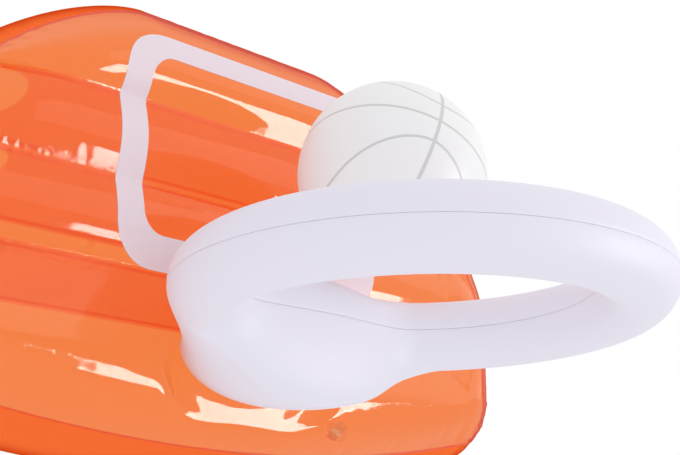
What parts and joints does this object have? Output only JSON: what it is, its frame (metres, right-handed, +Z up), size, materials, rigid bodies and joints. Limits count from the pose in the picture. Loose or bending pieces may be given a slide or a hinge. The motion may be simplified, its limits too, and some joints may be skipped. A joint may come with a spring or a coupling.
{
  "type": "inflatable basketball hoop",
  "caption": "Inflatable pool basketball hoop: a translucent channelled air board with a horizontal air ring on a swollen pad, push-in air valves and a hollow ball above the ring.",
  "frame": {"origin": "middle of the floor under the whole object, at the foot of the board", "axes": "+X to the right along the board as seen from the ring's side, +Y from the ring towards the board, +Z up"},
  "size_m": [0.8484, 0.6971, 0.512],
  "materials": {
    "orange_film": "translucent tinted film, glossy",
    "white_vinyl": "soft gloss opaque film",
    "clear_valve": "soft moulded, satin",
    "ball_vinyl": "moulded, satin"
  },
  "bodies": {
    "hoop": {"board_front_sheet": "orange_film", "board_back_sheet": "orange_film", "board_web_lower": "orange_film", "board_web_middle": "orange_film", "board_web_upper": "orange_film", "board_valve_flange": "clear_valve", "ring_upper_sheet": "white_vinyl", "ring_lower_sheet": "white_vinyl", "ring_pad_patch": "white_vinyl", "ring_valve_flange": "clear_valve"},
    "board_stem": {"board_valve_stem": "clear_valve"},
    "board_stopper": {"board_valve_stopper": "clear_valve"},
    "board_flap": {"board_valve_flap": "clear_valve"},
    "ring_stem": {"ring_valve_stem": "clear_valve"},
    "ring_stopper": {"ring_valve_stopper": "clear_valve"},
    "ring_flap": {"ring_valve_flap": "clear_valve"},
    "ball": {"ball_skin": "ball_vinyl", "ball_valve": "ball_vinyl"}
  },
  "joints": [
    {"name": "board_stem_push", "type": "slide", "parent": "hoop", "child": "board_stem", "axis": [-0.0858, -0.8726, 0.4808], "range_m": [0, 0.0075]},
    {"name": "board_stopper_swing", "type": "hinge", "parent": "board_stem", "child": "board_stopper", "pos_m": [0.29711, 0.34705, 0.08651], "axis": [0.1443, 0.4667, 0.8726], "range_deg": [0, 150]},
    {"name": "board_flap_open", "type": "hinge", "parent": "board_stem", "child": "board_flap", "pos_m": [0.30042, 0.33391, 0.09299], "axis": [-0.1443, -0.4667, -0.8726], "range_deg": [0, 40], "stiffness_Nm_per_rad": 0.00003, "springref_deg": -17.19},
    {"name": "ring_stem_push", "type": "slide", "parent": "hoop", "child": "ring_stem", "axis": [0, 0, -1], "range_m": [0, 0.0075]},
    {"name": "ring_stopper_swing", "type": "hinge", "parent": "ring_stem", "child": "ring_stopper", "pos_m": [-0.14726, 0.02096, 0.18625], "axis": [0, -1, 0], "range_deg": [0, 150]},
    {"name": "ring_flap_open", "type": "hinge", "parent": "ring_stem", "child": "ring_flap", "pos_m": [-0.14266, 0.02096, 0.17195], "axis": [0, 1, 0], "range_deg": [0, 40], "stiffness_Nm_per_rad": 0.00003, "springref_deg": -17.19},
    {"name": "ball_lift", "type": "slide", "parent": "hoop", "child": "ball", "axis": [0, 0, 1], "range_m": [0, 0.35]}
  ]
}
